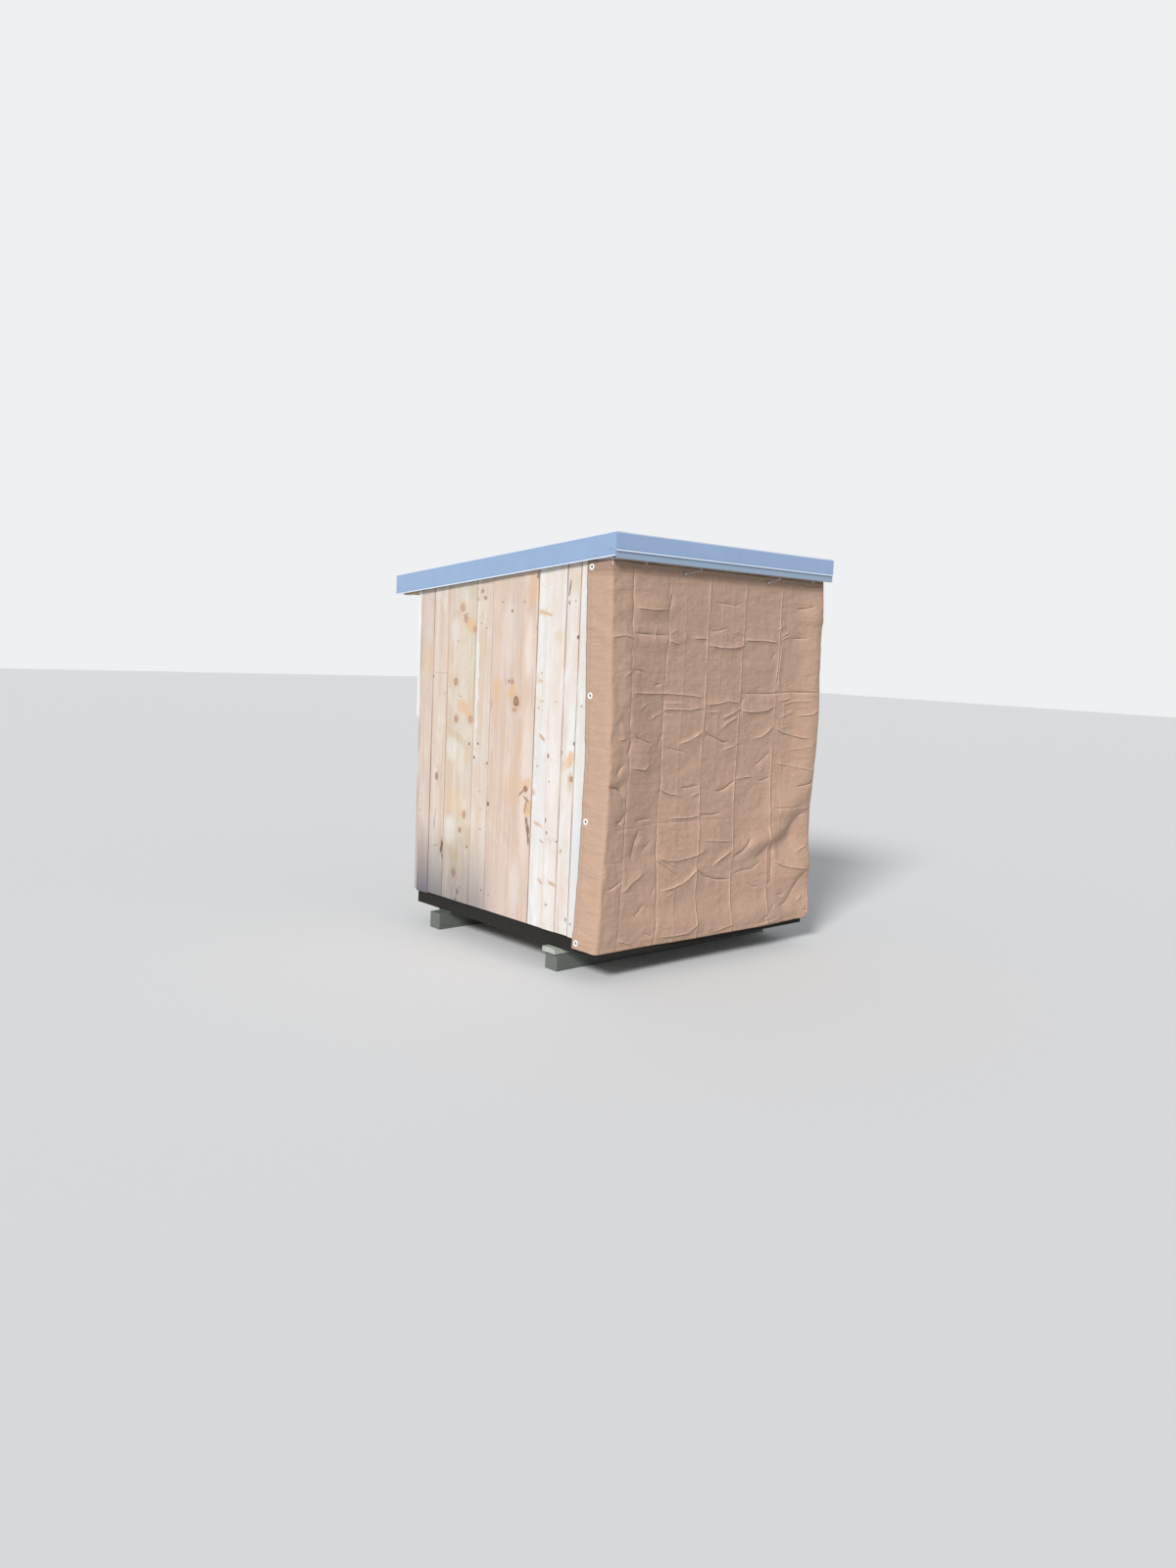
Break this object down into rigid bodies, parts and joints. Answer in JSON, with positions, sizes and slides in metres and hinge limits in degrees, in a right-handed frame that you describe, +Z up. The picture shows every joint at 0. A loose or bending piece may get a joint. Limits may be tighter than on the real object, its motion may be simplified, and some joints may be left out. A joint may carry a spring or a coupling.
{
  "type": "log store",
  "caption": "Small lean-to firewood shed: boarded walls on timber sleepers, low metal-edged roof, canvas sheet hung across the front.",
  "frame": {"origin": "on the ground, under the middle of the outline seen from above", "axes": "+Z up; the canvas front faces -Y and +Y runs to the back wall; +X is towards the right wall as seen by someone who stands before the front"},
  "size_m": [1.6138, 1.8182, 2.1144],
  "materials": {
    "framing_timber": "planed softwood",
    "wall_boards": "rough-sawn pale pine, knots",
    "treated_timber": "green-treated softwood, damp and dirty",
    "packing_timber": "rough-sawn pine plank",
    "floor_boards": "rough-sawn pine",
    "deck_sheathing": "sheathing plywood",
    "fascia_timber": "planed softwood",
    "trim_metal": "satin pale grey-blue coil coat",
    "roof_metal": "satin pale grey-blue coil coat",
    "canvas": "tan canvas, creased from its packing",
    "grommet_metal": "satin, slightly dull"
  },
  "bodies": {
    "root": {"back_corner_battens": "wall_boards", "back_drip_edge": "trim_metal", "back_fascia_board": "fascia_timber", "back_girt": "framing_timber", "back_header": "framing_timber", "back_left_post": "framing_timber", "back_right_post": "framing_timber", "back_rim_joist": "treated_timber", "back_wall": "wall_boards", "floor_deck": "floor_boards", "floor_joists": "treated_timber", "front_drip_edge": "trim_metal", "front_fascia_board": "fascia_timber", "front_fascia_cover": "trim_metal", "front_header": "framing_timber", "front_left_post": "framing_timber", "front_packing_plank": "packing_timber", "front_right_post": "framing_timber", "front_rim_joist": "treated_timber", "front_sleeper": "treated_timber", "front_tarp": "canvas", "inner_rafters": "framing_timber", "left_girt": "framing_timber", "left_rafter": "framing_timber", "left_rake_board": "fascia_timber", "left_rake_trim": "trim_metal", "left_side_joist": "treated_timber", "left_top_rail": "framing_timber", "left_wall": "wall_boards", "rear_packing_plank": "packing_timber", "rear_sleeper": "treated_timber", "right_girt": "framing_timber", "right_rafter": "framing_timber", "right_rake_board": "fascia_timber", "right_rake_trim": "trim_metal", "right_side_joist": "treated_timber", "right_top_rail": "framing_timber", "right_wall": "wall_boards", "roof_deck": "deck_sheathing", "roof_sheet": "roof_metal", "tarp_grommets": "grommet_metal"}
  },
  "joints": []
}
